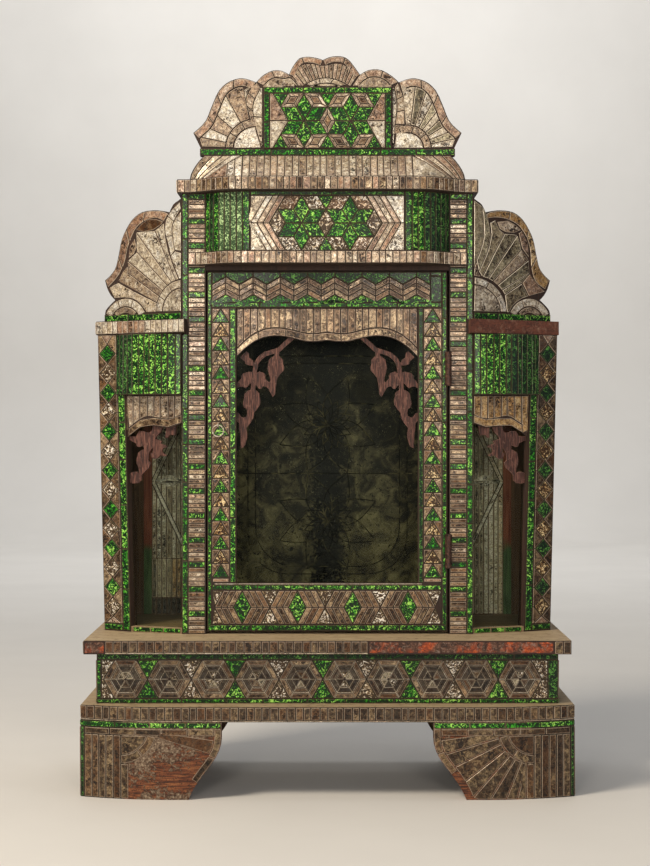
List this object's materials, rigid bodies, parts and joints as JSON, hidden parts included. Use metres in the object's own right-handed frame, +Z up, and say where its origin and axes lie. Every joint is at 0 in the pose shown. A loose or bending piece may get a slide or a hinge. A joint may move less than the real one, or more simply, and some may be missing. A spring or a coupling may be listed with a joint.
{
  "type": "wooden house shrine",
  "caption": "Wooden house shrine cabinet with a hinged glazed door, canted glazed wings, cornices, shell crests and bracket feet.",
  "frame": {"origin": "on the floor, under the middle of the shrine's bounding box", "axes": "+Z up, front of the shrine towards -Y, +X to the viewer's right"},
  "size_m": [0.717, 0.316, 1.0835],
  "materials": {
    "silver_mosaic": "wood faced with strips of aged silvered glass",
    "green_mosaic": "wood faced with green glass over crinkled foil",
    "bare_wood": "bare red-brown timber",
    "carved_wood": "carved and stained openwork",
    "clear_glass": "old window glass",
    "aged_mirror": "darkened and de-silvered mirror",
    "rusty_iron": "rusted"
  },
  "bodies": {
    "cabinet": {"foot_front_left": "silver_mosaic", "foot_front_right": "silver_mosaic", "foot_back_left": "silver_mosaic", "foot_back_right": "silver_mosaic", "plinth_ledge": "silver_mosaic", "frieze_front": "silver_mosaic", "frieze_back": "bare_wood", "frieze_left": "silver_mosaic", "frieze_right": "silver_mosaic", "altar_ledge": "bare_wood", "cabinet_floor": "bare_wood", "back_panel": "bare_wood", "back_mirror": "aged_mirror", "lintel": "green_mosaic", "pier_left": "silver_mosaic", "pier_right": "silver_mosaic", "corner_post_left": "silver_mosaic", "corner_post_right": "silver_mosaic", "wing_side_left": "bare_wood", "wing_side_right": "bare_wood", "partition_left": "bare_wood", "partition_right": "bare_wood", "wing_glass_left": "clear_glass", "wing_glass_right": "clear_glass", "wing_valance_left": "silver_mosaic", "wing_valance_right": "silver_mosaic", "wing_bracket_left": "carved_wood", "wing_bracket_right": "carved_wood", "wing_drum_left": "green_mosaic", "wing_drum_right": "green_mosaic", "wing_shelf_left": "silver_mosaic", "wing_shelf_right": "bare_wood", "side_rail_left": "green_mosaic", "side_rail_right": "green_mosaic", "side_crest_left": "silver_mosaic", "side_crest_right": "silver_mosaic", "lower_cornice": "silver_mosaic", "upper_cornice": "silver_mosaic", "fascia_star_panel": "silver_mosaic", "fascia_drum_left": "green_mosaic", "fascia_drum_right": "green_mosaic", "roof_hood": "silver_mosaic", "top_rail": "green_mosaic", "top_crest": "silver_mosaic", "top_star_panel": "green_mosaic", "hinge_lower_pier_leaf": "rusty_iron", "hinge_upper_pier_leaf": "rusty_iron"},
    "door": {"door_stile_left": "silver_mosaic", "door_stile_right": "silver_mosaic", "door_top_rail": "silver_mosaic", "door_bottom_rail": "silver_mosaic", "door_glass": "clear_glass", "door_valance": "silver_mosaic", "door_bracket_left": "carved_wood", "door_bracket_right": "carved_wood", "hinge_lower_door_leaf": "rusty_iron", "hinge_upper_door_leaf": "rusty_iron", "ring_eye": "rusty_iron"},
    "ring": {"pull_ring": "rusty_iron"}
  },
  "joints": [
    {"name": "door_hinge", "type": "hinge", "parent": "cabinet", "child": "door", "pos_m": [0.1786, -0.0691, 0.497], "axis": [0, 0, 1], "range_deg": [0, 110]},
    {"name": "ring_swing", "type": "hinge", "parent": "door", "child": "ring", "pos_m": [-0.162, -0.066, 0.536], "axis": [-1, 0, 0], "range_deg": [-8, 170]}
  ]
}
